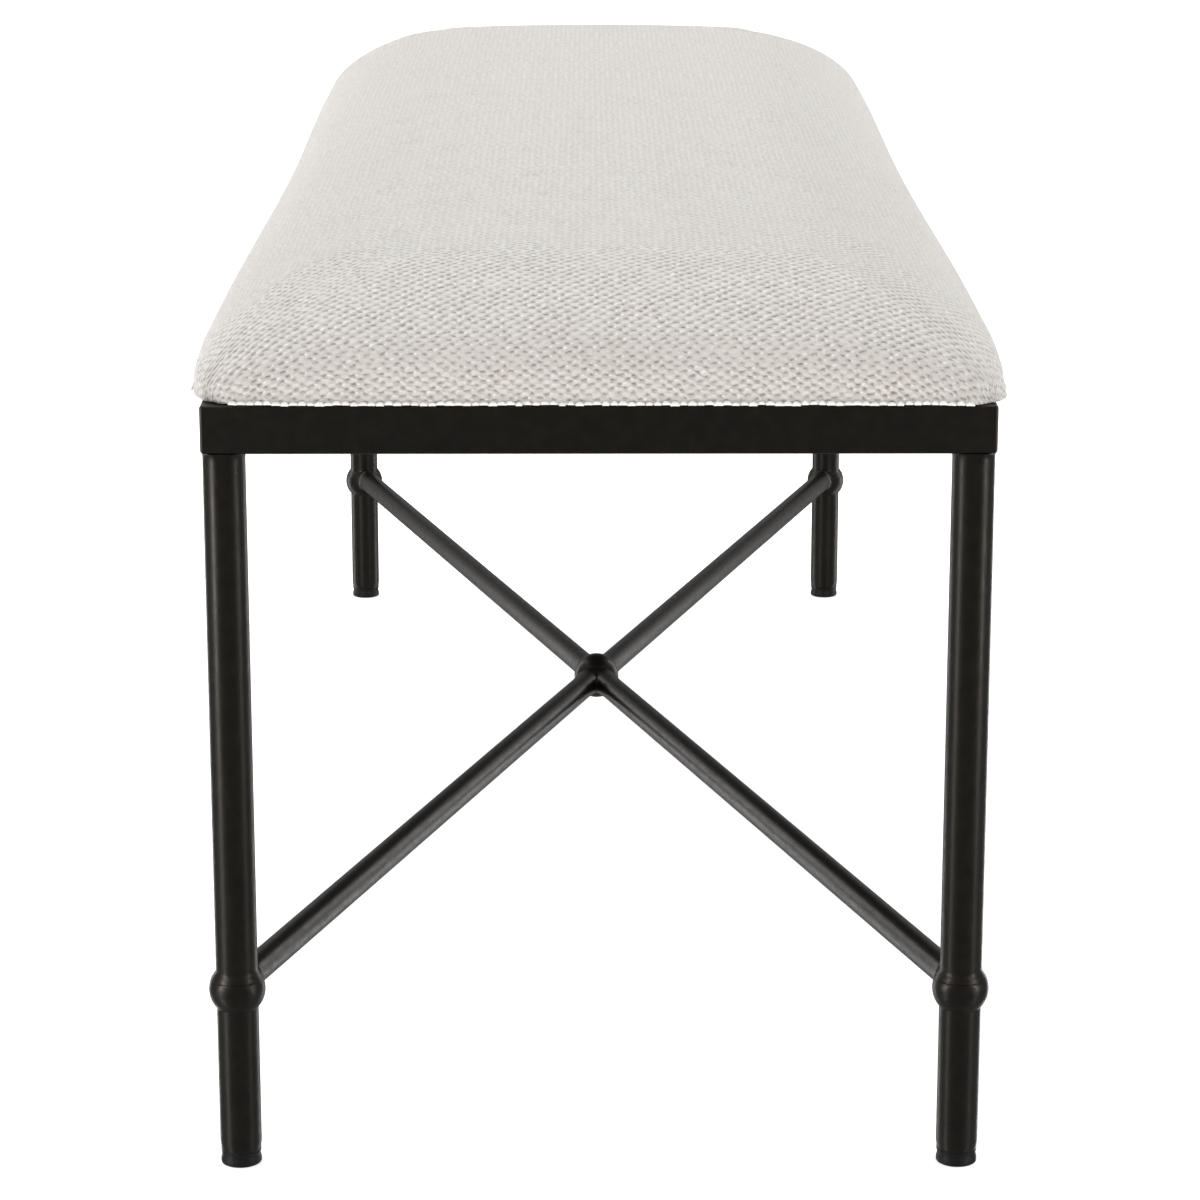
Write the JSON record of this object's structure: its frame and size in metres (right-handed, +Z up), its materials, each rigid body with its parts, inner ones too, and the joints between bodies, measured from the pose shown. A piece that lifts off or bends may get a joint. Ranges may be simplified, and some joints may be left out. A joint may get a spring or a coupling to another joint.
{
  "type": "entryway bench",
  "caption": "Backless upholstered bench: a crowned woven-fabric seat pad on a welded dark metal frame with round legs, ball joints and an X stretcher.",
  "frame": {"origin": "on the floor, under the middle of the seat", "axes": "+X along the bench's length towards its right end, +Y across it towards the rear, +Z up"},
  "size_m": [1.227, 0.4184, 0.483],
  "materials": {
    "frame_paint": "satin bronze-black paint with faint mottling",
    "glide_plastic": "matt black moulded plastic",
    "woven_cover": "coarse off-white basket weave with a soft yarn sheen",
    "wadding": "white polyester batting",
    "foam": "open-cell upholstery foam",
    "dust_cloth": "thin black non-woven dust cloth",
    "plywood": "raw plywood",
    "zinc_steel": "bright zinc plate"
  },
  "bodies": {
    "root": {"front_rail": "frame_paint", "rear_rail": "frame_paint", "left_end_rail": "frame_paint", "right_end_rail": "frame_paint", "leg_front_left": "frame_paint", "leg_front_right": "frame_paint", "leg_rear_left": "frame_paint", "leg_rear_right": "frame_paint", "ball_front_left": "frame_paint", "ball_front_right": "frame_paint", "ball_rear_left": "frame_paint", "ball_rear_right": "frame_paint", "glide_front_left": "glide_plastic", "glide_front_right": "glide_plastic", "glide_rear_left": "glide_plastic", "glide_rear_right": "glide_plastic", "rod_front_left": "frame_paint", "rod_front_right": "frame_paint", "rod_rear_left": "frame_paint", "rod_rear_right": "frame_paint", "centre_ball": "frame_paint", "plate_front_left": "frame_paint", "plate_front_right": "frame_paint", "plate_rear_left": "frame_paint", "plate_rear_right": "frame_paint", "left_cross_strap": "frame_paint", "right_cross_strap": "frame_paint", "seat_board": "plywood", "foam_core": "foam", "batting_wrap": "wadding", "seat_cover": "woven_cover", "dust_cover": "dust_cloth", "cover_staples": "zinc_steel", "seat_screws": "zinc_steel", "seat_washers": "zinc_steel", "tee_nuts": "zinc_steel"}
  },
  "joints": []
}
